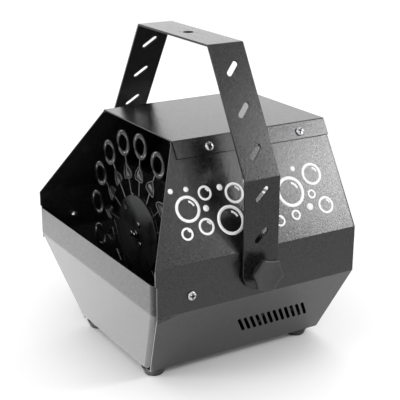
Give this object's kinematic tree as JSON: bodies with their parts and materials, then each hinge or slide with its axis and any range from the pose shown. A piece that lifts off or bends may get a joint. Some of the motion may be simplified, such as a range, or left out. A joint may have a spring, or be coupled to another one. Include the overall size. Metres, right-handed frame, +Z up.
{
  "type": "bubble machine",
  "caption": "Sheet-metal bubble machine: an open front tank, a turning wheel of ring wands with a fan behind it, and a swinging slotted bracket clamped by two knobs.",
  "frame": {"origin": "on the surface the feet stand on, below the centre of the whole machine", "axes": "+Z up, -Y out of the bubble opening, +X towards the side shell named right"},
  "size_m": [0.288, 0.2248, 0.3142],
  "materials": {
    "satin_black": "fine-grained satin powder coat",
    "wand_gloss": "glossy moulded",
    "moulded_black": "fine spark-eroded texture",
    "rubber": "matt",
    "zinc": "bright zinc plate",
    "ivory": "matt"
  },
  "bodies": {
    "case": {"side_shell_right": "satin_black", "side_shell_left": "satin_black", "top_cover": "satin_black", "rear_panel": "satin_black", "base_plate": "satin_black", "tank_tray": "satin_black", "motor_plate": "satin_black", "fan_plate": "satin_black", "foot_front_left": "rubber", "foot_front_right": "rubber", "foot_rear_left": "rubber", "foot_rear_right": "rubber", "fan_frame": "moulded_black", "gear_motor": "zinc", "friction_washer_right": "rubber", "friction_washer_left": "rubber", "cover_screw_left_1": "zinc", "cover_screw_left_2": "zinc", "cover_screw_right_1": "zinc", "cover_screw_right_2": "zinc", "side_screw_left": "zinc", "side_screw_right": "zinc", "rear_screw_1": "zinc", "rear_screw_2": "zinc", "rear_screw_3": "zinc", "rear_screw_4": "zinc", "power_inlet": "moulded_black", "switch_frame": "moulded_black", "terminal_block": "ivory"},
    "wand_wheel": {"wheel_shaft": "zinc", "hub_front_disc": "wand_gloss", "hub_rear_disc": "wand_gloss", "shaft_nut": "zinc", "hub_screw_1": "zinc", "hub_screw_2": "zinc", "hub_screw_3": "zinc", "wand_01": "wand_gloss", "wand_02": "wand_gloss", "wand_03": "wand_gloss", "wand_04": "wand_gloss", "wand_05": "wand_gloss", "wand_06": "wand_gloss", "wand_07": "wand_gloss", "wand_08": "wand_gloss", "wand_09": "wand_gloss", "wand_10": "wand_gloss", "wand_11": "wand_gloss", "wand_12": "wand_gloss", "wand_13": "wand_gloss", "wand_14": "wand_gloss", "wand_15": "wand_gloss", "wand_16": "wand_gloss"},
    "fan": {"fan_rotor": "moulded_black"},
    "bracket": {"handle_bracket": "satin_black"},
    "knob_right": {"knob_right": "moulded_black", "stud_right": "zinc"},
    "knob_left": {"knob_left": "moulded_black", "stud_left": "zinc"},
    "rocker": {"switch_rocker": "moulded_black"},
    "fuse_drawer": {"fuse_drawer": "moulded_black"}
  },
  "joints": [
    {"name": "wheel_spin", "type": "hinge", "parent": "case", "child": "wand_wheel", "pos_m": [0, -0.0616, 0.1199], "axis": [0, 1, 0], "continuous": true},
    {"name": "fan_spin", "type": "hinge", "parent": "case", "child": "fan", "pos_m": [0, 0.0335, 0.179], "axis": [0, 1, 0], "continuous": true},
    {"name": "bracket_swing", "type": "hinge", "parent": "case", "child": "bracket", "pos_m": [0, -0.0053, 0.1154], "axis": [1, 0, 0], "range_deg": [-52, 57]},
    {"name": "knob_right_turn", "type": "hinge", "parent": "case", "child": "knob_right", "pos_m": [0.137, -0.0053, 0.1154], "axis": [1, 0, 0], "range_deg": [0, 360]},
    {"name": "knob_left_turn", "type": "hinge", "parent": "case", "child": "knob_left", "pos_m": [-0.137, -0.0053, 0.1154], "axis": [-1, 0, 0], "range_deg": [0, 360]},
    {"name": "switch_rock", "type": "hinge", "parent": "case", "child": "rocker", "pos_m": [0.026, 0.108, 0.066], "axis": [1, 0, 0], "range_deg": [0, 20]},
    {"name": "fuse_drawer_slide", "type": "slide", "parent": "case", "child": "fuse_drawer", "axis": [0, 1, 0], "range_m": [0, 0.018]}
  ]
}
